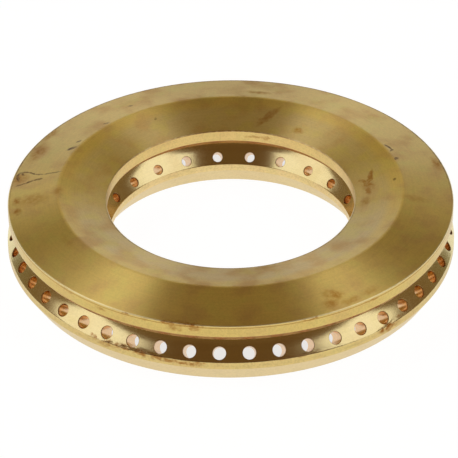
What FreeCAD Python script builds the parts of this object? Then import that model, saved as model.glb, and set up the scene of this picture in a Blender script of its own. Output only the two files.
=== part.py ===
# Gas burner cap: one heavy brass ring, cast as a blank and turned all over.
#
# Seen in section it is an upturned trough with a gabled roof. The roof falls from a ridge to an
# outer and an inner lip, which are cut back underneath. Below each lip a leaning wall carries a row
# of drilled flame ports, and below that wall a short upright land and a tapered skirt run down to a
# flat seat ring. The trough between the two skirts is the gas channel, open underneath.
#
# Millimetres, +Z up. The origin is the middle of the seat plane. X is any radius of the ring.
import FreeCAD, Part
import os

import Sketcher
from FreeCAD import Placement, Rotation, Vector

NODE = "burner_cap"

# Alias, size, what it measures.
SIZES = [
    ("cap_diameter", 140.0, "across the outer lip"),
    ("roof_width_outer", 15.8, "ridge to outer lip, level"),
    ("roof_width_inner", 15.2, "ridge to inner lip, level"),
    ("roof_rise", 3.2, "outer lip up to the ridge"),
    ("inner_lip_drop", 0.5, "inner lip lower than the outer one"),
    ("lip_height", 4.0, "roof's end down to the foot of the lip's face"),
    ("lip_bevel", 0.4, "bevel that breaks the top edge of each lip"),
    ("undercut_height", 1.95, "slanted undercut below each lip's face, upright"),
    ("undercut_width", 1.4, "slanted undercut below each lip's face, level"),
    ("groove_height", 7.2, "land up to the underside of the outer lip"),
    ("wall_lean", 40.0, "port wall from upright, degrees"),
    ("land_step", 0.6, "land stands out from the lip above it"),
    ("land_height", 2.25, "upright land under the port wall"),
    ("skirt_height", 6.0, "seat up to the land"),
    ("skirt_taper", 3.8, "seat edge set in from the land"),
    ("skirt_wall", 7.1, "land in to the gas channel"),
    ("port_wall", 4.6, "port wall, square through"),
    ("crown_thickness", 7.5, "ridge down to the channel roof"),
    ("outer_port_diameter", 4.0, "drill of the outer ports"),
    ("outer_port_rise", 2.25, "land top up to the outer port's centre"),
    ("outer_port_count", 48.0, "outer ports in the row"),
    ("outer_port_turn", -3.12, "first outer port, degrees from X"),
    ("inner_port_diameter", 3.2, "drill of the inner ports"),
    ("inner_port_rise", 1.95, "land top up to the inner port's centre"),
    ("inner_port_count", 24.0, "inner ports in the row"),
    ("inner_port_turn", 5.9, "first inner port, degrees from X"),
    ("drill_clearance", 1.0, "drill past the metal at both ends"),
]

# Corners of the turned section as drawn before its constraints are solved: radius, height.
SECTION = {
    "ridge": (54, 24),
    "outer_roof_end": (69, 21),
    "outer_lip_top": (70, 20),
    "outer_lip_foot": (70, 17),
    "outer_lip_under": (69, 15),
    "outer_groove_root": (65, 15),
    "outer_land_top": (71, 8),
    "outer_land_foot": (71, 6),
    "outer_seat": (67, 0),
    "outer_mouth": (63, 0),
    "outer_knee": (63, 10),
    "outer_ceiling": (57, 17),
    "inner_ceiling": (52, 17),
    "inner_knee": (46, 10),
    "inner_mouth": (46, 0),
    "inner_seat": (42, 0),
    "inner_land_foot": (38, 6),
    "inner_land_top": (38, 8),
    "inner_groove_root": (44, 15),
    "inner_lip_under": (40, 15),
    "inner_lip_foot": (39, 17),
    "inner_lip_top": (39, 20),
    "inner_roof_end": (40, 21),
}
# Straight runs of the section by the corner they start from.
UPRIGHT = ["outer_lip_top", "outer_land_top", "outer_mouth",
           "inner_knee", "inner_land_foot", "inner_lip_foot"]
LEVEL = ["outer_lip_under", "outer_seat", "outer_ceiling", "inner_mouth", "inner_groove_root"]
PARALLEL = [("outer_groove_root", "outer_knee"), ("inner_land_top", "inner_ceiling")]

TAN_LEAN = "tan(Sizes.wall_lean * 1 deg)"
COS_LEAN = "cos(Sizes.wall_lean * 1 deg)"
SIN_LEAN = "sin(Sizes.wall_lean * 1 deg)"

# Axis of the measure, the corner it starts from, the corner it ends at, its size.
MEASURES = [
    ("X", None, "outer_lip_top", "Sizes.cap_diameter / 2"),
    ("X", "ridge", "outer_lip_top", "Sizes.roof_width_outer"),
    ("X", "inner_lip_top", "ridge", "Sizes.roof_width_inner"),
    ("Y", "outer_roof_end", "ridge", "Sizes.roof_rise"),
    ("Y", "inner_roof_end", "outer_roof_end", "Sizes.inner_lip_drop"),
    ("Y", "outer_land_top", "outer_groove_root", "Sizes.groove_height"),
    ("X", "outer_groove_root", "outer_land_top", "Sizes.groove_height * " + TAN_LEAN),
    ("X", "inner_land_top", "inner_groove_root",
     "(Sizes.groove_height - Sizes.inner_lip_drop) * " + TAN_LEAN),
    ("X", "outer_lip_top", "outer_land_top", "Sizes.land_step"),
    ("X", "inner_land_top", "inner_lip_top", "Sizes.land_step"),
    ("X", "outer_seat", "outer_land_foot", "Sizes.skirt_taper"),
    ("X", "inner_land_foot", "inner_seat", "Sizes.skirt_taper"),
    ("X", "outer_mouth", "outer_land_foot", "Sizes.skirt_wall"),
    ("X", "inner_land_foot", "inner_mouth", "Sizes.skirt_wall"),
    ("X", "outer_roof_end", "outer_lip_top", "Sizes.lip_bevel"),
    ("X", "inner_lip_top", "inner_roof_end", "Sizes.lip_bevel"),
    ("X", "outer_lip_under", "outer_lip_foot", "Sizes.undercut_width"),
    ("X", "inner_lip_foot", "inner_lip_under", "Sizes.undercut_width"),
    ("Y", "outer_ceiling", "ridge", "Sizes.crown_thickness"),
]
for edge in ("outer", "inner"):
    MEASURES += [
        ("Y", None, edge + "_land_foot", "Sizes.skirt_height"),
        ("Y", edge + "_land_foot", edge + "_land_top", "Sizes.land_height"),
        ("Y", edge + "_lip_foot", edge + "_roof_end", "Sizes.lip_height"),
        ("Y", edge + "_lip_under", edge + "_lip_foot", "Sizes.undercut_height"),
        ("Y", edge + "_lip_top", edge + "_roof_end", "Sizes.lip_bevel"),
        ("Y", edge + "_land_top", edge + "_knee",
         "(Sizes.skirt_wall - Sizes.port_wall / " + COS_LEAN + ") / " + TAN_LEAN),
    ]

# Corners of a drilled port's half section as drawn before its constraints are solved.
DRILL = {
    "outer": {"air": (70, 11), "channel": (62, 5), "channel_rim": (61, 7), "air_rim": (69, 13)},
    "inner": {"air": (39, 11), "channel": (47, 5), "channel_rim": (48, 7), "air_rim": (40, 13)},
}
# Any turn but none, so that the sketch keeps its axis until the sheet sets the angle.
DRAWN_TURN = 1.0
LAND_RADIUS = {
    "outer": "Sizes.cap_diameter / 2 + Sizes.land_step",
    "inner": "Sizes.cap_diameter / 2 - Sizes.roof_width_outer - Sizes.roof_width_inner - Sizes.land_step",
}


def make_sheet(doc):
    """Put the driving sizes in a sheet, one row each: words, number, alias."""
    sheet = doc.addObject("Spreadsheet::Sheet", "Sizes")
    for row, (alias, size, words) in enumerate(SIZES, start=1):
        sheet.set("A%d" % row, words)
        sheet.set("B%d" % row, str(size))
        sheet.setAlias("B%d" % row, alias)
    doc.recompute()
    return sheet


def origin_part(body, role):
    """A plane or axis of the body's own origin."""
    return next(item for item in body.Origin.OriginFeatures if item.Role == role)


def new_sketch(body, name):
    """A sketch on the body's upright XZ plane: its x is the radius, its y the height."""
    sketch = body.newObject("Sketcher::SketchObject", name)
    sketch.AttachmentSupport = (origin_part(body, "XZ_Plane"), [""])
    sketch.MapMode = "FlatFace"
    return sketch


def measure(sketch, axis, start, end, size):
    """Bind the distance from start to end along one axis to a size from the sheet."""
    drawn = sketch.getPoint(*end) - sketch.getPoint(*start)
    length = {"X": drawn.x, "Y": drawn.y}[axis]
    index = sketch.addConstraint(Sketcher.Constraint("Distance" + axis, *start, *end, length))
    sketch.setExpression("Constraints[%d]" % index, size)


def draw_outline(sketch, corners):
    """Close a chain of lines through the corners; return each corner's line start."""
    points = [Vector(x, y, 0) for x, y in corners.values()]
    starts = {}
    for index, name in enumerate(corners):
        sketch.addGeometry(Part.LineSegment(points[index], points[(index + 1) % len(points)]), False)
        starts[name] = (index, 1)
    for index in range(len(points)):
        sketch.addConstraint(Sketcher.Constraint("Coincident", index, 2, (index + 1) % len(points), 1))
    return starts


def draw_section(body):
    """Half section of the ring, fully held by the sizes."""
    sketch = new_sketch(body, "RingSection")
    at = draw_outline(sketch, SECTION)
    at[None] = (-1, 1)
    for name in UPRIGHT:
        sketch.addConstraint(Sketcher.Constraint("Vertical", at[name][0]))
    for name in LEVEL:
        sketch.addConstraint(Sketcher.Constraint("Horizontal", at[name][0]))
    for name in ("outer_seat", "inner_seat"):
        sketch.addConstraint(Sketcher.Constraint("PointOnObject", *at[name], -1))
    for wall, lining in PARALLEL:
        sketch.addConstraint(Sketcher.Constraint("Parallel", at[wall][0], at[lining][0]))
    for axis, start, end, size in MEASURES:
        measure(sketch, axis, at[start], at[end], size)
    return sketch


def turn_ring(body, section):
    """Turn the section once round the upright axis."""
    ring = body.newObject("PartDesign::Revolution", "TurnedRing")
    ring.Profile = section
    ring.ReferenceAxis = (origin_part(body, "Z_Axis"), [""])
    ring.Angle = 360.0
    return ring


def draw_drill(body, side):
    """Half section of one drilled port, square to its wall, from the air into the channel.

    The sketch plane is turned to the first port of the row.
    """
    sketch = new_sketch(body, side.capitalize() + "PortDrill")
    sketch.AttachmentOffset = Placement(Vector(), Rotation(Vector(0, 1, 0), DRAWN_TURN))
    sketch.setExpression(".AttachmentOffset.Rotation.Angle", "Sizes.%s_port_turn" % side)
    at = draw_outline(sketch, DRILL[side])
    drawn = Part.LineSegment(sketch.getPoint(*at["air"]), sketch.getPoint(*at["channel"]))
    shaft = sketch.addGeometry(drawn, True)
    sketch.addConstraint(Sketcher.Constraint("Coincident", shaft, 1, *at["air"]))
    sketch.addConstraint(Sketcher.Constraint("Coincident", shaft, 2, *at["channel"]))
    for end in ("channel", "air_rim"):
        sketch.addConstraint(Sketcher.Constraint("Perpendicular", shaft, at[end][0]))
    sketch.addConstraint(Sketcher.Constraint("Parallel", shaft, at["channel_rim"][0]))
    for axis, corner, size in drill_measures(side):
        measure(sketch, axis, (-1, 1), at[corner], size)
    end_face = at["channel"][0]
    drawn_radius = sketch.Geometry[end_face].length()
    radius = sketch.addConstraint(Sketcher.Constraint("Distance", end_face, drawn_radius))
    sketch.setExpression("Constraints[%d]" % radius, "Sizes.%s_port_diameter / 2" % side)
    return sketch


def drill_measures(side):
    """Where the drill's axis starts in the air and ends in the channel, as sheet expressions."""
    rise = "Sizes.%s_port_rise" % side
    land = LAND_RADIUS[side]
    inwards = {"outer": "-", "inner": "+"}[side]
    outwards = {"outer": "+", "inner": "-"}[side]
    depth = "((Sizes.skirt_wall - %s * %s) / %s + Sizes.%s_port_diameter / 2 * %s + Sizes.drill_clearance)"
    depth = depth % (rise, TAN_LEAN, COS_LEAN, side, TAN_LEAN)
    radius = "%s %s %s * %s" % (land, inwards, rise, TAN_LEAN)
    height = "Sizes.skirt_height + Sizes.land_height + " + rise
    return [
        ("X", "air", "%s %s Sizes.drill_clearance * %s" % (radius, outwards, COS_LEAN)),
        ("Y", "air", "%s + Sizes.drill_clearance * %s" % (height, SIN_LEAN)),
        ("X", "channel", "%s %s %s * %s" % (radius, inwards, depth, COS_LEAN)),
        ("Y", "channel", "%s - %s * %s" % (height, depth, SIN_LEAN)),
    ]


def drill_ports(body, side):
    """Drill one port and repeat it round the ring."""
    sketch = draw_drill(body, side)
    drill = body.newObject("PartDesign::Groove", side.capitalize() + "Port")
    drill.Profile = sketch
    drill.ReferenceAxis = (sketch, ["Axis0"])
    drill.Angle = 360.0
    row = body.newObject("PartDesign::PolarPattern", side.capitalize() + "PortRow")
    row.Originals = [drill]
    row.Axis = (origin_part(body, "Z_Axis"), [""])
    row.Angle = 360.0
    row.setExpression("Occurrences", "Sizes.%s_port_count" % side)
    body.Tip = row
    body.Document.recompute()
    return row


def build_cap(doc):
    """The whole ring, in the order it is made: turned, then its two rows of ports drilled."""
    body = doc.addObject("PartDesign::Body", "BurnerCap")
    body.Label = NODE
    ring = turn_ring(body, draw_section(body))
    doc.recompute()
    stages = [ring, drill_ports(body, "outer"), drill_ports(body, "inner")]
    return body, [stage.Shape.Volume for stage in stages]


def check(doc, body, volumes):
    """Stop before anything is written if a feature failed or a row of ports cut nothing."""
    for item in doc.Objects:
        if "Invalid" in item.State or "Error" in item.State:
            raise RuntimeError("%s failed: %s" % (item.Name, item.State))
    if body.Shape.isNull() or not body.Shape.isValid() or len(body.Shape.Solids) != 1:
        raise RuntimeError("the ring is not one sound solid")
    if not volumes[0] > volumes[1] > volumes[2]:
        raise RuntimeError("a row of ports cut nothing: %s" % volumes)


def main():
    doc = FreeCAD.newDocument("GasBurnerCap")
    make_sheet(doc)
    body, volumes = build_cap(doc)
    check(doc, body, volumes)
    os.makedirs("parts", exist_ok=True)
    body.Shape.exportStep("parts/%s.step" % body.Label)
    print("%s: %.0f mm3, box %s" % (body.Label, body.Shape.Volume, body.Shape.BoundBox))


main()
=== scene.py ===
import math

import bmesh
import bpy
from mathutils import Matrix, Vector, noise


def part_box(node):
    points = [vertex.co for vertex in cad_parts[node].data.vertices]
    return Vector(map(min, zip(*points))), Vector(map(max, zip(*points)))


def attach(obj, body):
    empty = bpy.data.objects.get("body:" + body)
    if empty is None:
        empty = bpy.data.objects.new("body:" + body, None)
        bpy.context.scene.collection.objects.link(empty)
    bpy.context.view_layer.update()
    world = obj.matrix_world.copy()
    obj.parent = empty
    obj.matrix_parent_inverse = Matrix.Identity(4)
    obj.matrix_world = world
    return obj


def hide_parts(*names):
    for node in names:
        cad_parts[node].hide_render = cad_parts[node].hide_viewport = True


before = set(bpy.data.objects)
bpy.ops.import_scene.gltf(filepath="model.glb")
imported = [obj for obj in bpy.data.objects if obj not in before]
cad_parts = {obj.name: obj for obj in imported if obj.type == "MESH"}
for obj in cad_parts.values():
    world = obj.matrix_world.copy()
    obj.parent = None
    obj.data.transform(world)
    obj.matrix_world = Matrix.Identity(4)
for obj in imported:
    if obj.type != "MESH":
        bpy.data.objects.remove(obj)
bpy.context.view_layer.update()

# The ring: one brass casting, turned all over in a lathe. Its section is an upturned trough with a gabled
# roof, a lip on each side that is cut back underneath, a leaning port wall under each lip, an upright land
# and a tapered skirt down to a flat seat. The tool leaves every corner a little rounded.
MM = 0.001
cap_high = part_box("burner_cap")[1]
LAND_RADIUS = cap_high[0]
RIDGE_HEIGHT = cap_high[2]
LAND_STEP = 0.6 * MM
ROOF_WIDTH = 15.8 * MM
INNER_ROOF_WIDTH = 15.2 * MM
LIP_RADIUS = LAND_RADIUS - LAND_STEP
RIDGE_RADIUS = LIP_RADIUS - ROOF_WIDTH
INNER_LIP_RADIUS = RIDGE_RADIUS - INNER_ROOF_WIDTH
INNER_LAND_RADIUS = INNER_LIP_RADIUS - LAND_STEP
LAND_FOOT = 6.0 * MM
LAND_TOP = 8.25 * MM
UNDERSIDE = 15.45 * MM
LIP_FOOT = 17.4 * MM
LIP_TOP = 21.32 * MM
UNDERCUT = 1.4 * MM
INNER_DROP = 0.5 * MM
INNER_UNDERSIDE = 15.3 * MM
INNER_LIP_FOOT = 17.15 * MM
INNER_LIP_TOP = LIP_TOP - INNER_DROP
SKIRT_TAPER = 3.8 * MM
SKIRT_WALL = 7.1 * MM
PORT_WALL = 4.6 * MM
WALL_LEAN = math.radians(40)
LEAN = math.tan(WALL_LEAN)
CROWN_THICKNESS = 7.5 * MM
CEILING = RIDGE_HEIGHT - CROWN_THICKNESS
KNEE = LAND_TOP + (SKIRT_WALL - PORT_WALL / math.cos(WALL_LEAN)) / LEAN
LINING_RADIUS = LAND_RADIUS - SKIRT_WALL
INNER_LINING_RADIUS = INNER_LAND_RADIUS + SKIRT_WALL
CEILING_RUN = (CEILING - KNEE) * LEAN
WALL_BEND = 0.8 * MM
BEND_START = 0.4
GROOVE_ROOT = LAND_RADIUS - (UNDERSIDE - LAND_TOP) * LEAN + WALL_BEND
INNER_GROOVE_ROOT = INNER_LAND_RADIUS + (INNER_UNDERSIDE - LAND_TOP) * LEAN - WALL_BEND

# Each corner: radius, height, rounding, and the finish of the run that starts there.
section = [
    (RIDGE_RADIUS, RIDGE_HEIGHT, 2.2 * MM, "roof"),
    (LIP_RADIUS, LIP_TOP, 0.35 * MM, "lip"),
    (LIP_RADIUS, LIP_FOOT, 0.15 * MM, "under"),
    (LIP_RADIUS - UNDERCUT, UNDERSIDE, 0.15 * MM, "under"),
    (GROOVE_ROOT, UNDERSIDE, 0.4 * MM, "wall"),
    (LAND_RADIUS, LAND_TOP, 0.2 * MM, "land"),
    (LAND_RADIUS, LAND_FOOT, 0.5 * MM, "skirt"),
    (LAND_RADIUS - SKIRT_TAPER, 0.0, 0.25 * MM, "seat"),
    (LINING_RADIUS, 0.0, 0.15 * MM, "lining"),
    (LINING_RADIUS, KNEE, 0.4 * MM, "channel"),
    (LINING_RADIUS - CEILING_RUN, CEILING, 1.0 * MM, "channel"),
    (INNER_LINING_RADIUS + CEILING_RUN, CEILING, 1.0 * MM, "channel"),
    (INNER_LINING_RADIUS, KNEE, 0.4 * MM, "inner_lining"),
    (INNER_LINING_RADIUS, 0.0, 0.15 * MM, "seat"),
    (INNER_LAND_RADIUS + SKIRT_TAPER, 0.0, 0.25 * MM, "skirt"),
    (INNER_LAND_RADIUS, LAND_FOOT, 0.5 * MM, "land"),
    (INNER_LAND_RADIUS, LAND_TOP, 0.2 * MM, "inner_wall"),
    (INNER_GROOVE_ROOT, INNER_UNDERSIDE, 0.4 * MM, "under"),
    (INNER_LIP_RADIUS + UNDERCUT, INNER_UNDERSIDE, 0.15 * MM, "under"),
    (INNER_LIP_RADIUS, INNER_LIP_FOOT, 0.15 * MM, "lip"),
    (INNER_LIP_RADIUS, INNER_LIP_TOP, 0.35 * MM, "roof"),
]

# Rows of the mesh along each run, and a support row close to each rounded corner.
RUN_ROWS = {"roof": 6, "lip": 3, "under": 1, "land": 2, "skirt": 3, "seat": 1, "channel": 1,
            "wall": 6, "inner_wall": 6, "lining": 1, "inner_lining": 1}
SUPPORT = 0.25 * MM
ARC_STEP = math.radians(18)

# Bands of the port walls and linings that are left open for the ports, from a lower to an upper height.
CELL_ROWS = 8
port_bands = {
    "wall": (LAND_TOP + 0.3 * MM, LAND_TOP + 4.4 * MM),
    "inner_wall": (LAND_TOP + 0.3 * MM, LAND_TOP + 4.0 * MM),
    "lining": (3.1 * MM, 9.15 * MM),
    "inner_lining": (3.2 * MM, 8.1 * MM),
}


def rounded_corner(before, corner, after, radius):
    """Points of the arc that rounds one corner of the section."""
    to_before = (before - corner).normalized()
    to_after = (after - corner).normalized()
    opening = to_before.angle(to_after)
    reach = radius / math.tan(opening / 2)
    centre = corner + (to_before + to_after).normalized() * radius / math.sin(opening / 2)
    turn = math.pi - opening
    steps = max(2, math.ceil(turn / ARC_STEP))
    start = corner + to_before * reach - centre
    way = 1 if to_before.cross(to_after) < 0 else -1
    points = []
    for step in range(steps + 1):
        swing = Matrix.Rotation(way * turn * step / steps, 2)
        points.append(centre + swing @ start)
    return points


wall_tops = {"wall": UNDERSIDE, "inner_wall": INNER_UNDERSIDE}


def wall_depth(height, wall):
    """How far a leaning wall lies behind its land at a height: the tool let it curve out towards its top."""
    share = (height - LAND_TOP) / (wall_tops[wall] - LAND_TOP)
    past = max(0.0, share - BEND_START) / (1 - BEND_START)
    return (height - LAND_TOP) * LEAN - WALL_BEND * past ** 2


def straight_marks(start, end, finish):
    """Points between two corners, each with whether it lies in a port band."""
    length = (end - start).length
    marks = {row / RUN_ROWS[finish] for row in range(1, RUN_ROWS[finish])}
    if length > 3 * SUPPORT:
        marks.update((SUPPORT / length, 1 - SUPPORT / length))
    if finish not in port_bands:
        return [(start.lerp(end, mark), False) for mark in sorted(marks)]
    low, high = sorted((height - start.y) / (end.y - start.y) for height in port_bands[finish])
    clear = SUPPORT / 2 / length
    outside = [mark for mark in marks if mark < low - clear or mark > high + clear]
    inside = [low + (high - low) * row / CELL_ROWS for row in range(CELL_ROWS + 1)]
    return [(start.lerp(end, mark), mark in inside) for mark in sorted(outside + inside)]


corners = [Vector((radius, height)) for radius, height, rounding, finish in section]
arcs = []
for index, (radius, height, rounding, finish) in enumerate(section):
    following = corners[(index + 1) % len(corners)]
    arcs.append(rounded_corner(corners[index - 1], corners[index], following, rounding))

# Rows of the lathe mesh in order round the section: place, finish of the band that follows, port band or not.
rows = []
for index, (radius, height, rounding, finish) in enumerate(section):
    arc = arcs[index]
    before_finish = section[index - 1][3]
    for step, point in enumerate(arc):
        past_middle = step >= len(arc) // 2
        band_finish = finish if past_middle else before_finish
        # The lip's top rounding gets an edge finish whose pale brass is partly wear and partly a painted
        # highlight line.
        if {finish, before_finish} == {"roof", "lip"} and step < len(arc) - 1:
            band_finish = "edge"
        rows.append((point, band_finish, False))
    following_arc = arcs[(index + 1) % len(arcs)]
    for point, in_band in straight_marks(arc[-1], following_arc[0], finish):
        if finish in wall_tops:
            land = LAND_RADIUS if finish == "wall" else INNER_LAND_RADIUS
            inward = -1 if finish == "wall" else 1
            point.x = land + inward * wall_depth(point.y, finish)
        rows.append((point, finish, in_band))

# The mesh stands in columns round the ring, with a whole number of them to each port of either row.
OUTER_PORTS = 48
INNER_PORTS = 24
OUTER_PORT_TURN = math.radians(-3.12)
INNER_PORT_TURN = math.radians(5.9)
SECTOR_COLUMNS = 8
COLUMNS = OUTER_PORTS * SECTOR_COLUMNS
INNER_SECTOR_COLUMNS = COLUMNS // INNER_PORTS
COLUMN_STEP = math.tau / COLUMNS
first_azimuth = OUTER_PORT_TURN + math.pi / OUTER_PORTS
inner_edge = INNER_PORT_TURN + math.pi / INNER_PORTS
first_inner_column = round((inner_edge - first_azimuth) / COLUMN_STEP)
inner_twist = inner_edge - first_azimuth - first_inner_column * COLUMN_STEP
TWIST_CLEAR = 2 * MM


def row_twist(point):
    """Columns turn a little between the two sides, so that both rows of ports meet whole columns."""
    run = LIP_RADIUS - INNER_LIP_RADIUS - 2 * TWIST_CLEAR
    share = (LIP_RADIUS - TWIST_CLEAR - point.x) / run
    return inner_twist * min(1.0, max(0.0, share))


def on_ring(radius, azimuth, height):
    """A place by its radius, its azimuth and its height."""
    return Vector((radius * math.cos(azimuth), radius * math.sin(azimuth), height))


ring_mesh = bmesh.new()
FINISHES = ["roof", "edge", "lip", "under", "wall", "land", "skirt", "seat", "channel", "rim", "bore"]
SAME_FINISH = {"inner_wall": "wall", "lining": "channel", "inner_lining": "channel"}


def finish_index(finish):
    """The place of a finish in the ring's list of materials."""
    return FINISHES.index(SAME_FINISH.get(finish, finish))


def is_sector_edge(finish, column):
    """Whether a column lies between the cells of two ports."""
    if finish in ("inner_wall", "inner_lining"):
        return (column - first_inner_column) % INNER_SECTOR_COLUMNS == 0
    return column % SECTOR_COLUMNS == 0


grid = {}
places = {}
for row, (point, finish, in_band) in enumerate(rows):
    open_row = in_band and rows[row - 1][2] and rows[(row + 1) % len(rows)][2]
    for column in range(COLUMNS):
        if open_row and not is_sector_edge(finish, column):
            continue
        azimuth = first_azimuth + column * COLUMN_STEP + row_twist(point)
        grid[row, column] = ring_mesh.verts.new(on_ring(point.x, azimuth, point.y))
        places[row, column] = (azimuth, point.y)

for row, (point, finish, in_band) in enumerate(rows):
    following = (row + 1) % len(rows)
    if in_band and rows[following][2]:
        continue
    for column in range(COLUMNS):
        beside = (column + 1) % COLUMNS
        quad = (grid[row, column], grid[row, beside], grid[following, beside], grid[following, column])
        face = ring_mesh.faces.new(quad)
        face.material_index = finish_index(finish)

# The flame ports: holes drilled square to the leaning walls with a small drill, through to the channel, and
# left with a hair of a chamfer where the drill was fed in.
RIM = 0.1 * MM
BORE_MARKS = (0.07, 0.5)
SPREAD_MARKS = (0.3, 0.6, 0.85)
rows_of_band = {}
for row, (point, finish, in_band) in enumerate(rows):
    if in_band:
        rows_of_band.setdefault(finish, []).append(row)


def cell_outline(finish, first_column, columns):
    """Grid places round one port's cell, from its lower left corner on, in the way azimuth grows."""
    band = sorted(rows_of_band[finish], key=lambda row: rows[row][0].y)
    outline = [(band[0], first_column + step) for step in range(columns)]
    outline += [(band[step], first_column + columns) for step in range(CELL_ROWS)]
    outline += [(band[-1], first_column + columns - step) for step in range(columns)]
    outline += [(band[CELL_ROWS - step], first_column) for step in range(CELL_ROWS)]
    return [(row, column % COLUMNS) for row, column in outline]


def bridge(loop, following, finish):
    """Quads between two loops of the same count."""
    for step in range(len(loop)):
        beside = (step + 1) % len(loop)
        face = ring_mesh.faces.new((loop[step], loop[beside], following[beside], following[step]))
        face.material_index = finish_index(finish)


def near_azimuth(azimuth, centre):
    """The same azimuth, counted so that it lies within half a turn of the centre."""
    return centre + math.remainder(azimuth - centre, math.tau)


def drill_port(side, centre_azimuth, first_column, columns, drill_radius, rise):
    """One port: the wall round its mouth, its rim, its bore and the lining round its inner end."""
    wall, lining, out, land, lining_radius = side
    mouth_height = LAND_TOP + rise
    radial = Vector((math.cos(centre_azimuth), math.sin(centre_azimuth), 0))
    inward = -out * math.cos(WALL_LEAN) * radial - Vector((0, 0, math.sin(WALL_LEAN)))

    def wall_point(azimuth, height):
        return on_ring(land - out * wall_depth(height, wall), azimuth, height)

    def mouth_place(radius, angle):
        height = mouth_height + radius * math.sin(angle) * math.cos(WALL_LEAN)
        around = radius * math.cos(angle) / (land - out * (height - LAND_TOP) * LEAN)
        return centre_azimuth + around, height

    def to_lining(point):
        flat = Vector((point.x, point.y))
        way = Vector((inward.x, inward.y))
        half = flat.dot(way)
        gap = flat.length_squared - lining_radius ** 2
        root = math.sqrt(half ** 2 - way.length_squared * gap)
        return (-half + (root if out < 0 else -root)) / way.length_squared

    outline = cell_outline(wall, first_column, columns)
    inner_outline = cell_outline(lining, first_column, columns)
    count = len(outline)
    angles = [-math.pi / 2 + (step - columns / 2) * math.tau / count for step in range(count)]
    wide = [mouth_place(drill_radius + RIM, angle) for angle in angles]
    narrow = [wall_point(*mouth_place(drill_radius, angle)) for angle in angles]
    depths = [to_lining(point) for point in narrow]

    loops = [[grid[place] for place in outline]]
    tags = []
    for mark in SPREAD_MARKS + (1.0,):
        loop = []
        for place, (azimuth, height) in zip(outline, wide):
            edge_azimuth, edge_height = places[place]
            edge_azimuth = near_azimuth(edge_azimuth, centre_azimuth)
            around = edge_azimuth + (azimuth - edge_azimuth) * mark
            loop.append(ring_mesh.verts.new(wall_point(around, edge_height + (height - edge_height) * mark)))
        loops.append(loop)
        tags.append(wall)
    # The chamfer and the first part of each bore take the rim finish, a painted shade that darkens each
    # mouth.
    loops.append([ring_mesh.verts.new(point + inward * RIM) for point in narrow])
    tags.append("rim")
    for mark in BORE_MARKS + (1.0,):
        deeper = [point + inward * depth * mark for point, depth in zip(narrow, depths)]
        loops.append([ring_mesh.verts.new(point) for point in deeper])
        tags.append("rim" if mark == BORE_MARKS[0] else "bore")
    ends = [vertex.co.copy() for vertex in loops[-1]]
    for mark in SPREAD_MARKS[::-1]:
        loop = []
        for place, end in zip(inner_outline, ends):
            edge_azimuth, edge_height = places[place]
            edge_azimuth = near_azimuth(edge_azimuth, centre_azimuth)
            azimuth = near_azimuth(math.atan2(end.y, end.x), centre_azimuth)
            around = edge_azimuth + (azimuth - edge_azimuth) * mark
            height = edge_height + (end.z - edge_height) * mark
            loop.append(ring_mesh.verts.new(on_ring(lining_radius, around, height)))
        loops.append(loop)
        tags.append(lining)
    loops.append([grid[place] for place in inner_outline])
    tags.append(lining)
    for loop, following, tag in zip(loops, loops[1:], tags):
        bridge(loop, following, tag)


OUTER_DRILL = 2.0 * MM
OUTER_PORT_RISE = 2.25 * MM
INNER_DRILL = 1.6 * MM
INNER_PORT_RISE = 1.95 * MM
outer_side = ("wall", "lining", 1, LAND_RADIUS, LINING_RADIUS)
inner_side = ("inner_wall", "inner_lining", -1, INNER_LAND_RADIUS, INNER_LINING_RADIUS)
for port in range(OUTER_PORTS):
    azimuth = OUTER_PORT_TURN + port * math.tau / OUTER_PORTS
    first_column = (port - 1) * SECTOR_COLUMNS
    drill_port(outer_side, azimuth, first_column, SECTOR_COLUMNS, OUTER_DRILL, OUTER_PORT_RISE)
for port in range(INNER_PORTS):
    azimuth = INNER_PORT_TURN + port * math.tau / INNER_PORTS
    first_column = first_inner_column + (port - 1) * INNER_SECTOR_COLUMNS
    drill_port(inner_side, azimuth, first_column, INNER_SECTOR_COLUMNS, INNER_DRILL, INNER_PORT_RISE)

# The land's top edge is battered: knocks have pushed it in, most of all at the front left. Each knocked place
# has its middle and half length, in degrees from the front, and a strength.
KNOCK_DEPTH = 0.35 * MM
KNOCK_SIZE = 2.2 * MM
KNOCK_REACH = 1.2 * MM
KNOCK_RISE = 0.55 * MM
KNOCK_DROP = 0.5
NOISE_GAIN = 1.6
knocked_places = [(-23, 16, 0.75), (42, 4.5, 0.55), (0, 200, 0.1)]
for vertex in ring_mesh.verts:
    radius = vertex.co.to_2d().length
    height = vertex.co.z
    if radius < LAND_RADIUS - KNOCK_REACH or not LAND_TOP - KNOCK_REACH < height < LAND_TOP + KNOCK_RISE:
        continue
    turn = math.degrees(math.atan2(vertex.co.x, -vertex.co.y))
    strength = 0.0
    for middle, half, share in knocked_places:
        strength = max(strength, share * (1 - (abs(turn - middle) / half) ** 2))
    near_edge = max(0.0, 1 - abs(height - LAND_TOP) / KNOCK_REACH)
    knock = abs(noise.noise(vertex.co / KNOCK_SIZE)) * NOISE_GAIN * KNOCK_DEPTH * strength * near_edge
    vertex.co.xy *= 1 - knock / radius
    vertex.co.z -= knock * KNOCK_DROP

SHARP_ANGLE = math.radians(33)
bmesh.ops.recalc_face_normals(ring_mesh, faces=ring_mesh.faces)
for face in ring_mesh.faces:
    face.smooth = True
ring_data = bpy.data.meshes.new("burner_cap_ring")
ring_mesh.to_mesh(ring_data)
ring_mesh.free()
ring_data.set_sharp_from_angle(angle=SHARP_ANGLE)
ring = bpy.data.objects.new("burner_cap_ring", ring_data)
bpy.context.collection.objects.link(ring)

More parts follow.
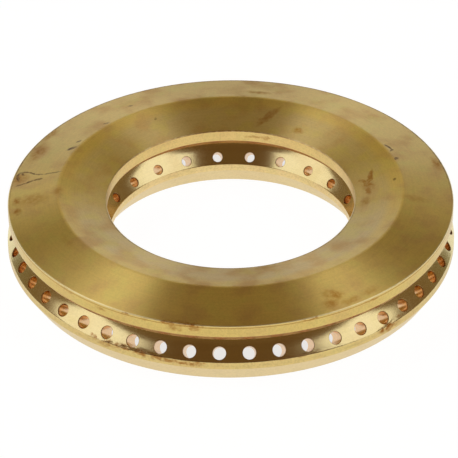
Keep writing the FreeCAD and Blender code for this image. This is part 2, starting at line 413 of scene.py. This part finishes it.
# The brass: yellow metal, bright where the tool cut it last and duller where it was only fettled. Heat and
# handling have left it mottled, with brown stains, a few fine cracks, nicks on the ridge and dirt on the
# edges. Its marks are laid out in millimetres and in degrees round from the front.
SATIN_BRASS = (0.72, 0.55, 0.19, 1)
GOLDEN_BRASS = (0.67, 0.49, 0.155, 1)
BRIGHT_BRASS = (0.82, 0.71, 0.38, 1)
PALE_BRASS = (0.77, 0.605, 0.305, 1)
COPPERY_BRASS = (0.83, 0.52, 0.28, 1)
PORT_BRASS = (0.95, 0.65, 0.37, 1)
LAND_BRASS = (0.675, 0.505, 0.195, 1)
# A dark brown for the port rims: painted shade round each mouth and down the first part of each bore.
PORT_RIM_SHADE_BRASS = (0.40, 0.24, 0.10, 1)
PALE_INNER = (0.79, 0.59, 0.27, 1)
DULL_INNER = (0.66, 0.525, 0.25, 1)
GOLDEN_INNER = (0.76, 0.55, 0.21, 1)
BROWN_HAZE = (0.63, 0.42, 0.17, 1)
GREEN_HAZE = (0.69, 0.59, 0.19, 1)
BROWN_STAIN = (0.36, 0.14, 0.02, 1)
ORANGE_STAIN = (0.46, 0.205, 0.02, 1)
BLACK_STAIN = (0.15, 0.08, 0.02, 1)


def add_node(tree, kind, **settings):
    """A new shader node with some of its settings."""
    made = tree.nodes.new("ShaderNode" + kind)
    for name, value in settings.items():
        setattr(made, name, value)
    return made


def feed(tree, socket, value):
    """Gives a socket a link or a plain value."""
    if isinstance(value, bpy.types.NodeSocket):
        tree.links.new(value, socket)
    else:
        socket.default_value = value


def reckon(tree, operation, first, second):
    """One step of arithmetic between two values."""
    step = add_node(tree, "Math", operation=operation)
    feed(tree, step.inputs[0], first)
    feed(tree, step.inputs[1], second)
    return step.outputs[0]


def fade(tree, value, start, end, low=0.0, high=1.0):
    """Goes smoothly from low to high while the value goes from start to end."""
    step = add_node(tree, "MapRange", interpolation_type="SMOOTHSTEP")
    feed(tree, step.inputs["Value"], value)
    step.inputs["From Min"].default_value = start
    step.inputs["From Max"].default_value = end
    step.inputs["To Min"].default_value = low
    step.inputs["To Max"].default_value = high
    return step.outputs["Result"]


def tint(tree, share, first, second, way="MIX"):
    """Blends two colours."""
    mix = add_node(tree, "Mix", data_type="RGBA", blend_type=way)
    feed(tree, mix.inputs["Factor"], share)
    feed(tree, mix.inputs["A"], first)
    feed(tree, mix.inputs["B"], second)
    return mix.outputs["Result"]


def lumps(tree, place, size, seed, detail=2.0):
    """Noise with lumps of about one size in millimetres."""
    cloud = add_node(tree, "TexNoise", noise_dimensions="4D")
    feed(tree, cloud.inputs["Vector"], place)
    cloud.inputs["W"].default_value = seed
    cloud.inputs["Scale"].default_value = 1 / size
    cloud.inputs["Detail"].default_value = detail
    return cloud


def wander(tree, place, size, reach, seed):
    """Shifts places by noise, so that marks laid there get ragged edges."""
    cloud = lumps(tree, place, size, seed, 3.0)
    middle = add_node(tree, "VectorMath", operation="SUBTRACT")
    feed(tree, middle.inputs[0], cloud.outputs["Color"])
    middle.inputs[1].default_value = (0.5, 0.5, 0.5)
    shift = add_node(tree, "VectorMath", operation="SCALE")
    feed(tree, shift.inputs[0], middle.outputs[0])
    shift.inputs["Scale"].default_value = reach
    moved = add_node(tree, "VectorMath", operation="ADD")
    feed(tree, moved.inputs[0], place)
    feed(tree, moved.inputs[1], shift.outputs[0])
    return moved.outputs[0]


ROOF_LEVEL = 23.0
ANY_HEIGHT = 500
SIDE_REACH = 4.0
SCRATCH_HALF = 0.6
FIRM_RIM = (1.15, 0.55)
SOFT_RIM = (1.4, 0.1)


def patch(tree, place, middle, turn, reach, depth, rim=FIRM_RIM):
    """One oval mark: its middle, turn about the axis, half sizes in millimetres, strength, and between which
    shares of its size it fades."""
    local = add_node(tree, "Mapping", vector_type="TEXTURE")
    feed(tree, local.inputs["Vector"], place)
    local.inputs["Location"].default_value = middle
    local.inputs["Rotation"].default_value = (0, 0, turn)
    local.inputs["Scale"].default_value = reach
    away = add_node(tree, "VectorMath", operation="LENGTH")
    feed(tree, away.inputs[0], local.outputs[0])
    return fade(tree, away.outputs["Value"], rim[0], rim[1], 0.0, depth)


def from_front(degrees, radius):
    """A place seen from above, by degrees round from the front and by radius."""
    turn = math.radians(degrees)
    return radius * math.sin(turn), -radius * math.cos(turn)


def stain_on_top(tree, place, mark):
    """A stain on the roof: degrees round from the front, radius, half length round, half width, strength."""
    degrees, radius, along, across, depth = mark
    middle = (*from_front(degrees, radius), ROOF_LEVEL)
    return patch(tree, place, middle, math.radians(degrees), (along, across, ANY_HEIGHT), depth, SOFT_RIM)


def stain_on_side(tree, place, mark):
    """A stain on an upright face: degrees round from the front, radius, height, half length, half height,
    strength."""
    degrees, radius, height, along, rise, depth = mark
    middle = (*from_front(degrees, radius), height)
    return patch(tree, place, middle, math.radians(degrees), (along, SIDE_REACH, rise), depth)


def scratch_on_top(tree, place, mark):
    """A line on the roof: from where and to where (degrees round from the front, radius), half width,
    strength."""
    start, end, width, depth = mark
    first = Vector(from_front(*start))
    last = Vector(from_front(*end))
    middle = (first + last) / 2
    way = last - first
    reach = (way.length * SCRATCH_HALF, width, ANY_HEIGHT)
    return patch(tree, place, (middle.x, middle.y, ROOF_LEVEL), math.atan2(way.y, way.x), reach, depth)


def from_axis(tree, axes):
    """How far a place lies from the ring's axis."""
    flat = add_node(tree, "CombineXYZ")
    feed(tree, flat.inputs["X"], axes.outputs["X"])
    feed(tree, flat.inputs["Y"], axes.outputs["Y"])
    radius = add_node(tree, "VectorMath", operation="LENGTH")
    feed(tree, radius.inputs[0], flat.outputs[0])
    return radius.outputs["Value"]


def dark_line_round_edge(tree, place, mark):
    """A dark line round one side of the roof: the two radii and the two distances from front to back
    between which it fades in, and its strength."""
    low_radius, high_radius, start, end, depth = mark
    axes = add_node(tree, "SeparateXYZ")
    feed(tree, axes.inputs[0], place)
    line = fade(tree, from_axis(tree, axes), low_radius, high_radius, 0.0, depth)
    return reckon(tree, "MULTIPLY", line, fade(tree, axes.outputs["Y"], start, end))


def strongest(tree, marks):
    """The deepest of several marks at each place."""
    total = 0.0
    for mark in marks:
        total = reckon(tree, "MAXIMUM", total, mark)
    return total


ROOF_STAINS = [
    (-122, 68.5, 4.5, 1.6, 0.7), (-112, 66.6, 6.5, 2.6, 0.75), (-87.3, 67.2, 2.4, 1.6, 0.95),
    (-82.4, 67.1, 1.8, 1.3, 1.0), (-86.5, 62, 3.5, 6.0, 0.6), (-88.8, 54.5, 3.0, 2.0, 0.6),
    (-98.5, 67.5, 3.4, 2.6, 1.0), (104, 67.8, 4.0, 1.6, 0.95), (84, 58, 2.0, 4.5, 0.5),
    (170.7, 58.9, 4.0, 1.2, 0.7), (26.5, 66.5, 3.0, 2.2, 0.7), (29, 64.2, 2.4, 2.8, 0.8),
    (31.5, 67.8, 3.4, 1.4, 0.7), (27, 62.8, 1.8, 1.9, 0.6), (38, 67.5, 3.5, 1.2, 0.5),
    (149.6, 43.2, 2.0, 1.2, 0.9), (95.5, 43.8, 2.2, 2.0, 0.9), (84, 42.5, 2.8, 1.7, 0.6),
    (15, 41, 5.0, 1.2, 0.35), (-60, 57.5, 5.0, 1.5, 0.25), (-12, 69.5, 6.0, 0.7, 0.8),
]
ROOF_STREAKS = [
    ((167.4, 42.5), (161.6, 50.5), 1.5, 0.6), ((104.8, 46.6), (97, 43.8), 1.0, 0.9),
    ((101, 41.9), (96, 43.8), 1.0, 0.8), ((95, 43.6), (88.8, 43.4), 1.1, 0.75),
]
ROOF_CRACKS = [
    ((-99.8, 69.0), (-101.7, 67.9), 0.5, 0.9), ((-101.7, 67.9), (-101.4, 65.1), 0.5, 0.95),
    ((-101.4, 65.1), (-100.0, 62.8), 0.45, 0.9), ((-100.0, 62.8), (-99.6, 60.0), 0.42, 0.85),
    ((-99.6, 60.0), (-100.4, 54.7), 0.4, 0.75), ((-101.6, 67.8), (-99.9, 66.6), 0.45, 0.8),
    ((-94.8, 68.2), (-95.7, 65.1), 0.45, 0.85), ((-95.7, 65.1), (-96.8, 62.7), 0.55, 0.9),
    ((-96.8, 62.7), (-97.3, 59.9), 0.6, 0.9), ((-99.8, 68.6), (-97.2, 67.6), 0.55, 0.8),
]
RIDGE_NICKS = [
    ((-134.8, 55.4), (-133.2, 56.3), 0.55, 1.0), ((-120.8, 55.6), (-119.2, 56.6), 0.55, 1.0),
    ((-116.6, 55.2), (-114.0, 57.0), 0.8, 1.0), ((116.0, 55.3), (112.4, 56.3), 0.5, 1.0),
    ((112.9, 56.6), (111.7, 55.0), 0.5, 1.0), ((107.6, 55.8), (106.2, 54.6), 0.65, 1.0),
    ((95.6, 52.2), (94.4, 51.6), 0.6, 0.8), ((-148.0, 60.1), (-146.6, 60.9), 0.55, 0.8),
    ((-150.7, 49.6), (-149.9, 48.7), 0.45, 0.7),
]
# Dark lines round the roof's outer edge at the back and its inner edge at the front.
ROOF_EDGE_DARK_LINES = [(69.05, 69.5, -15, 20, 0.75), (39.9, 39.4, 5, -25, 0.65)]
# Brown over the back half of the lip's top edge: degrees round from the front, radius, half length round,
# half width, strength.
BACK_EDGE_BROWNING = (180, 70, 105, 75, 0.75)
LIP_STAINS = [
    (-16.5, 70, 21.0, 1.8, 0.7, 0.9), (-13.5, 70, 20.7, 2.2, 0.9, 0.9), (-11, 70, 21.0, 2.0, 0.7, 0.95),
    (-8, 70, 20.9, 1.8, 0.6, 0.9), (-27, 70, 20.9, 1.8, 0.5, 0.6), (-22, 70, 20.4, 1.8, 0.5, 0.5),
    (-34, 70, 19.6, 2.0, 0.6, 0.5), (20, 70, 20.8, 3.4, 0.4, 0.7), (37, 70, 20.4, 2.8, 0.45, 0.65),
    (-45, 70, 20.6, 2.4, 0.5, 0.4), (166, 39, 18.9, 3.4, 0.7, 0.55), (171, 39, 18.6, 1.8, 0.5, 0.5),
    (162.5, 39, 19.3, 1.8, 0.5, 0.5), (-14, 70, 19.5, 2.6, 1.2, 0.65), (-9, 70, 19.8, 2.0, 0.9, 0.6),
    (-12.5, 70, 21.0, 6.5, 0.8, 1.0),
]
LAND_STAINS = [
    (-36, 70, 8.4, 2.4, 0.7, 0.7), (-31, 70, 8.2, 3.4, 1.0, 0.8), (-27.5, 70, 8.6, 3.0, 0.9, 0.8),
    (-23, 70, 8.1, 3.0, 1.1, 0.85), (-18.5, 70, 7.9, 2.6, 0.9, 0.9), (-15, 70, 7.5, 3.4, 0.8, 0.9),
    (-11, 70, 7.4, 3.0, 0.7, 0.85), (-8, 70, 7.9, 2.0, 0.6, 0.7), (41.8, 70, 7.7, 3.4, 1.4, 1.0),
    (46.5, 70, 9.0, 1.0, 0.6, 0.9), (13, 70, 8.5, 2.4, 0.5, 0.45), (18, 70, 8.4, 3.4, 0.5, 0.5),
    (-33, 70, 7.3, 2.6, 0.9, 0.45), (-9, 70, 7.0, 2.4, 0.8, 0.5), (45, 70, 7.6, 2.6, 1.0, 0.35),
]

# Radii between which a look of the inner or of the outer side fades in at the ridge.
INNER_SIDE = (52, 48)
OUTER_SIDE = (52, 56)
BUMP_DEPTH = 0.05 * MM
ACROSS_THE_MARKS = 0.25


def brass_finish(name, colour, roughness, haze, grain, stains=0.5, turned=0.0, marks=(), dark_marks=(),
                 inner=None, dark_line_heights=(), gaps=0.7, stain=BROWN_STAIN):
    """One brass finish. Haze is how mottled and grain how speckled it is, and stains how strong its marks
    are. Turned is how far the tool marks draw the shine out across them. Each mark comes with the function
    that lays it; gaps is how broken the marks are and stain their colour. Inner is the colour of the ring's
    inner side, and dark_line_heights are the heights of fine dark lines round its outer side."""
    material = bpy.data.materials.new(name)
    material.use_nodes = True
    tree = material.node_tree
    shader = tree.nodes["Principled BSDF"]
    source = add_node(tree, "TexCoord")
    scaled = add_node(tree, "VectorMath", operation="SCALE")
    feed(tree, scaled.inputs[0], source.outputs["Object"])
    scaled.inputs["Scale"].default_value = 1 / MM
    place = scaled.outputs[0]
    axes = add_node(tree, "SeparateXYZ")
    feed(tree, axes.inputs[0], place)
    radius = from_axis(tree, axes)
    profile = add_node(tree, "CombineXYZ")
    feed(tree, profile.inputs["X"], radius)
    feed(tree, profile.inputs["Y"], axes.outputs["Z"])

    # Colour: mottled brown and green, speckled, with fine lines from the tool.
    tone = colour
    if inner:
        tone = tint(tree, fade(tree, radius, *INNER_SIDE), colour, inner)
    brown_lumps = lumps(tree, place, size=8.0, seed=1.0, detail=3.0).outputs["Fac"]
    green_lumps = lumps(tree, place, size=6.0, seed=2.0, detail=3.0).outputs["Fac"]
    brown = fade(tree, brown_lumps, 0.42, 0.72, 0.0, haze)
    green = fade(tree, green_lumps, 0.45, 0.70, 0.0, haze * 0.7)
    tone = tint(tree, brown, tone, BROWN_HAZE)
    tone = tint(tree, green, tone, GREEN_HAZE)
    speck = lumps(tree, place, size=0.55, seed=3.0, detail=3.0).outputs["Fac"]
    lines = lumps(tree, profile.outputs[0], size=0.5, seed=4.0).outputs["Fac"]
    speckle = fade(tree, speck, 0.3, 0.7, -grain, grain)
    turning = fade(tree, lines, 0.3, 0.7, 1 - grain / 2, 1 + grain / 2)
    tone = tint(tree, 1.0, tone, reckon(tree, "ADD", speckle, turning), "MULTIPLY")

    # Marks: brown stains and other brown marks with ragged edges, dirt in the specks, fine dark lines round
    # the outer side, and dark cracks, nicks and lines round the roof's edges.
    dirt = fade(tree, speck, 0.60, 0.74, 0.0, grain * 3.0)
    ragged = wander(tree, place, size=1.7, reach=2.6, seed=5.0)
    fine = wander(tree, place, size=0.8, reach=0.9, seed=6.0)
    broken_lumps = lumps(tree, place, size=1.3, seed=7.0, detail=5.0).outputs["Fac"]
    broken = fade(tree, broken_lumps, 0.36, 0.60, 1 - gaps, 1.0)
    stained = strongest(tree, [laid(tree, ragged, mark) for laid, mark in marks])
    brown_marks = reckon(tree, "MAXIMUM", reckon(tree, "MULTIPLY", stained, broken), dirt)
    for height in dark_line_heights:
        off = reckon(tree, "ABSOLUTE", reckon(tree, "SUBTRACT", axes.outputs["Z"], height), 0.0)
        line = fade(tree, off, 0.16, 0.06, 0.0, 0.75)
        line = reckon(tree, "MULTIPLY", line, fade(tree, radius, *OUTER_SIDE))
        brown_marks = reckon(tree, "MAXIMUM", brown_marks, line)
    brown_marks = reckon(tree, "MULTIPLY", brown_marks, stains)
    cracked = strongest(tree, [laid(tree, fine, mark) for laid, mark in dark_marks])
    black_marks = reckon(tree, "MULTIPLY", cracked, broken)
    tone = tint(tree, brown_marks, tone, stain)
    tone = tint(tree, black_marks, tone, BLACK_STAIN)
    feed(tree, shader.inputs["Base Color"], tone)

    # Shine: duller where it is mottled or stained, and drawn out across the tool marks.
    hazy = fade(tree, brown, 0.0, 1.0, roughness, roughness + 0.08)
    dullness = reckon(tree, "ADD", hazy, reckon(tree, "MULTIPLY", brown_marks, 0.15))
    feed(tree, shader.inputs["Roughness"], dullness)
    shader.inputs["Metallic"].default_value = 1.0
    bump = add_node(tree, "Bump")
    bump.inputs["Strength"].default_value = min(1.0, grain * 4)
    bump.inputs["Distance"].default_value = BUMP_DEPTH
    feed(tree, bump.inputs["Height"], speck)
    feed(tree, shader.inputs["Normal"], bump.outputs["Normal"])
    if turned:
        tangent = add_node(tree, "Tangent", direction_type="RADIAL", axis="Z")
        feed(tree, shader.inputs["Tangent"], tangent.outputs["Tangent"])
        shader.inputs["Anisotropic"].default_value = turned
        shader.inputs["Anisotropic Rotation"].default_value = ACROSS_THE_MARKS
    return material


on_roof = [(stain_on_top, mark) for mark in ROOF_STAINS] + [(scratch_on_top, mark) for mark in ROOF_STREAKS]
in_roof = [(scratch_on_top, mark) for mark in ROOF_CRACKS + RIDGE_NICKS]
in_roof += [(dark_line_round_edge, mark) for mark in ROOF_EDGE_DARK_LINES]
on_lip = [(stain_on_side, mark) for mark in LIP_STAINS]
on_edge = on_lip + [(stain_on_top, BACK_EDGE_BROWNING)]
on_land = [(stain_on_side, mark) for mark in LAND_STAINS]
LIP_LINE = 20.5
finish_looks = {
    "roof": brass_finish("turned_roof_brass", SATIN_BRASS, roughness=0.35, haze=0.8, grain=0.05, stains=0.95,
                         turned=0.93, marks=on_roof, dark_marks=in_roof, inner=DULL_INNER, gaps=0.45,
                         stain=ORANGE_STAIN),
    # The edge finish: a paler, brighter brass on the lip's top rounding, partly polish from wear and partly a
    # painted highlight line.
    "edge": brass_finish("worn_edge_painted_highlight_brass", BRIGHT_BRASS, roughness=0.28, haze=0.2, grain=0.01, stains=1.0,
                         marks=on_edge),
    "lip": brass_finish("turned_lip_brass", GOLDEN_BRASS, roughness=0.32, haze=0.35, grain=0.09, stains=1.0,
                        turned=0.5, marks=on_lip, inner=GOLDEN_INNER, dark_line_heights=[LIP_LINE]),
    "under": brass_finish("turned_under_brass", COPPERY_BRASS, roughness=0.34, haze=0.2, grain=0.05),
    "wall": brass_finish("bright_wall_brass", BRIGHT_BRASS, roughness=0.17, haze=0.25, grain=0.03, stains=1.0,
                         marks=on_land),
    "land": brass_finish("turned_land_brass", LAND_BRASS, roughness=0.34, haze=0.3, grain=0.12, stains=1.0,
                         turned=0.2, marks=on_land, inner=PALE_INNER),
    "skirt": brass_finish("dull_skirt_brass", PALE_BRASS, roughness=0.42, haze=0.15, grain=0.06, stains=0.6),
    "seat": brass_finish("faced_seat_brass", GOLDEN_BRASS, roughness=0.3, haze=0.3, grain=0.06, turned=0.3),
    "channel": brass_finish("cast_channel_brass", GOLDEN_BRASS, roughness=0.55, haze=0.6, grain=0.12,
                            stains=0.8),
    # The rim finish is painted shade: a dark ring round each port's mouth.
    "rim": brass_finish("painted_shade_rim_brass", PORT_RIM_SHADE_BRASS, roughness=0.4, haze=0.2, grain=0.05),
    "bore": brass_finish("drilled_port_brass", PORT_BRASS, roughness=0.25, haze=0.1, grain=0.05),
}
for finish in FINISHES:
    ring_data.materials.append(finish_looks[finish])
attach(ring, "root")
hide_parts("burner_cap")

# The floor: a plain white sweep that the cap stands on. It stays white where the camera and the metal see it,
# and a share of it is plain paint that takes the cap's shadow. Under the gas channel a fixed ring dims the
# glow, a painted shade, so that a larger share of plain paint shows there.
FLOOR_REACH = 6.0
FLOOR_WHITE = (0.9, 0.9, 0.9, 1)
FLOOR_GLOW = 1.07
SHADOW_SHARE = 0.1
SHADE_UNDER_CAP = 0.3
SHADE_EDGE = 1.5 * MM
MIDDLE_RADIUS = (LINING_RADIUS + INNER_LINING_RADIUS) / 2
HALF_CHANNEL = (LINING_RADIUS - INNER_LINING_RADIUS) / 2
floor_data = bpy.data.meshes.new("floor")
floor_corners = [(-FLOOR_REACH, -FLOOR_REACH, 0), (FLOOR_REACH, -FLOOR_REACH, 0),
                 (FLOOR_REACH, FLOOR_REACH, 0), (-FLOOR_REACH, FLOOR_REACH, 0)]
floor_data.from_pydata(floor_corners, [], [(0, 1, 2, 3)])
floor = bpy.data.objects.new("floor", floor_data)
bpy.context.collection.objects.link(floor)
floor_paint = bpy.data.materials.new("white_floor")
floor_paint.use_nodes = True
floor_tree = floor_paint.node_tree
floor_tree.nodes.clear()
paint = add_node(floor_tree, "BsdfDiffuse")
paint.inputs["Color"].default_value = FLOOR_WHITE
glow = add_node(floor_tree, "Emission")
glow.inputs["Color"].default_value = (1, 1, 1, 1)
glow.inputs["Strength"].default_value = FLOOR_GLOW
floor_place = add_node(floor_tree, "TexCoord")
from_middle = add_node(floor_tree, "VectorMath", operation="LENGTH")
feed(floor_tree, from_middle.inputs[0], floor_place.outputs["Object"])
off_channel = reckon(floor_tree, "SUBTRACT", from_middle.outputs["Value"], MIDDLE_RADIUS)
off_channel = reckon(floor_tree, "ABSOLUTE", off_channel, 0.0)
# The ring of painted shade under the gas channel: less glow there.
shade = add_node(floor_tree, "MapRange")
feed(floor_tree, shade.inputs["Value"], off_channel)
shade.inputs["From Min"].default_value = HALF_CHANNEL
shade.inputs["From Max"].default_value = HALF_CHANNEL + SHADE_EDGE
shade.inputs["To Min"].default_value = 1 - SHADE_UNDER_CAP
shade.inputs["To Max"].default_value = 1 - SHADOW_SHARE
path = add_node(floor_tree, "LightPath")
seen = reckon(floor_tree, "MAXIMUM", path.outputs["Is Camera Ray"], path.outputs["Is Glossy Ray"])
seen = reckon(floor_tree, "MAXIMUM", seen, path.outputs["Is Transmission Ray"])
blend = add_node(floor_tree, "MixShader")
feed(floor_tree, blend.inputs["Fac"], reckon(floor_tree, "MULTIPLY", seen, shade.outputs["Result"]))
feed(floor_tree, blend.inputs[1], paint.outputs[0])
feed(floor_tree, blend.inputs[2], glow.outputs[0])
floor_surface = add_node(floor_tree, "OutputMaterial")
feed(floor_tree, floor_surface.inputs["Surface"], blend.outputs[0])
floor_data.materials.append(floor_paint)

# The light: a large softbox on each side, smaller ones overhead, and a warm panel and two pale cards behind
# the cap. The room round them is dim, with a pale backdrop low down at the back.
ROOM_BEHIND = (0.10, 0.078, 0.037)
ROOM_STRENGTH = 2.0
LAMP_DISTANCE = 0.8
scene = bpy.context.scene
scene.view_settings.view_transform = "Standard"
room = bpy.data.worlds.new("studio")
scene.world = room
room.use_nodes = True
room_tree = room.node_tree
room_direction = add_node(room_tree, "TexCoord")
room_axes = add_node(room_tree, "SeparateXYZ")
feed(room_tree, room_axes.inputs[0], room_direction.outputs["Generated"])


def height_ramp(stops):
    """A colour that changes with the height of a direction, from level (0) to straight up (1)."""
    ramp = add_node(room_tree, "ValToRGB")
    feed(room_tree, ramp.inputs["Fac"], room_axes.outputs["Z"])
    spare = len(stops) - len(ramp.color_ramp.elements)
    for extra in range(spare):
        ramp.color_ramp.elements.new(0.5)
    for element, (height, colour) in zip(ramp.color_ramp.elements, stops):
        element.position = height
        element.color = (*colour, 1)
    return ramp.outputs["Color"]


def blend_by_depth(front, back, start, end):
    """Goes from one colour to another as the direction turns from the front to the back."""
    return tint(room_tree, fade(room_tree, room_axes.outputs["Y"], start, end), front, back)


backdrop = height_ramp([
    (0.0, (0.70, 0.76, 1.0)),
    (0.2, (0.66, 0.73, 1.0)),
    (0.32, (0.13, 0.105, 0.065)),
    (0.6, ROOM_BEHIND),
])
room_in_front = height_ramp([
    (0.0, (0.112, 0.073, 0.035)),
    (0.3, (0.096, 0.059, 0.026)),
    (0.56, (0.066, 0.0345, 0.0125)),
])
room_colour = blend_by_depth(room_in_front, (*ROOM_BEHIND, 1), 0.3, 0.6)
room_colour = blend_by_depth(room_colour, backdrop, 0.72, 0.96)
background = room_tree.nodes["Background"]
feed(room_tree, background.inputs["Color"], room_colour)
background.inputs["Strength"].default_value = ROOM_STRENGTH


def softbox(name, azimuth, elevation, width, height, radiance, colour=(1, 1, 1), lean=0):
    """An area lamp aimed at the cap; azimuth 0 is the front and grows to the right, lean tips it sideways."""
    lamp = bpy.data.lights.new(name, "AREA")
    lamp.shape = "RECTANGLE"
    lamp.size = width
    lamp.size_y = height
    lamp.energy = radiance * math.pi * width * height
    lamp.color = colour
    holder = bpy.data.objects.new(name, lamp)
    bpy.context.collection.objects.link(holder)
    lift = math.radians(elevation)
    place = Vector((*from_front(azimuth, math.cos(lift)), math.sin(lift)))
    holder.location = place * LAMP_DISTANCE
    aim = place.to_track_quat("Z", "Y").to_matrix() @ Matrix.Rotation(math.radians(lean), 3, "Z")
    holder.rotation_euler = aim.to_euler()


softbox("left_softbox", -83, 41, 0.78, 0.64, 0.95, lean=-28)
softbox("right_softbox", 74, 42, 0.64, 0.60, 0.96, lean=28)
softbox("left_overhead", -112, 62, 0.43, 0.20, 1.2)
softbox("right_overhead", 112, 62, 0.43, 0.20, 1.0)
softbox("front_overhead", 0, 69, 0.5, 0.2, 0.4, (1.0, 0.86, 0.55))
softbox("back_panel", 180, 40, 0.34, 0.40, 0.5, (1.0, 0.84, 0.4))
softbox("left_back_card", -141, 19, 0.36, 0.24, 0.75)
softbox("right_back_card", 138, 20, 0.30, 0.24, 0.4)

# The camera: a long lens that looks down on the cap from the front, about a metre away, so that the ring
# fills the picture and its far side looks only a little smaller than its near one.
CAMERA_PLACE = Vector((0, -0.79284, 0.54541))
CAMERA_AIM = Vector((-0.000586, 0, 0.00869))
CAMERA_ROLL = -0.00851
SENSOR_WIDTH = 36
LENS = 237.54
SIGHT = 30
camera_data = bpy.data.cameras.new("camera")
camera_data.sensor_fit = "HORIZONTAL"
camera_data.sensor_width = SENSOR_WIDTH
camera_data.lens = LENS
camera_data.clip_end = SIGHT
camera = bpy.data.objects.new("camera", camera_data)
bpy.context.collection.objects.link(camera)
look = (CAMERA_PLACE - CAMERA_AIM).to_track_quat("Z", "Y").to_matrix().to_4x4()
camera.matrix_world = Matrix.Translation(CAMERA_PLACE) @ look @ Matrix.Rotation(CAMERA_ROLL, 4, "Z")
scene.camera = camera
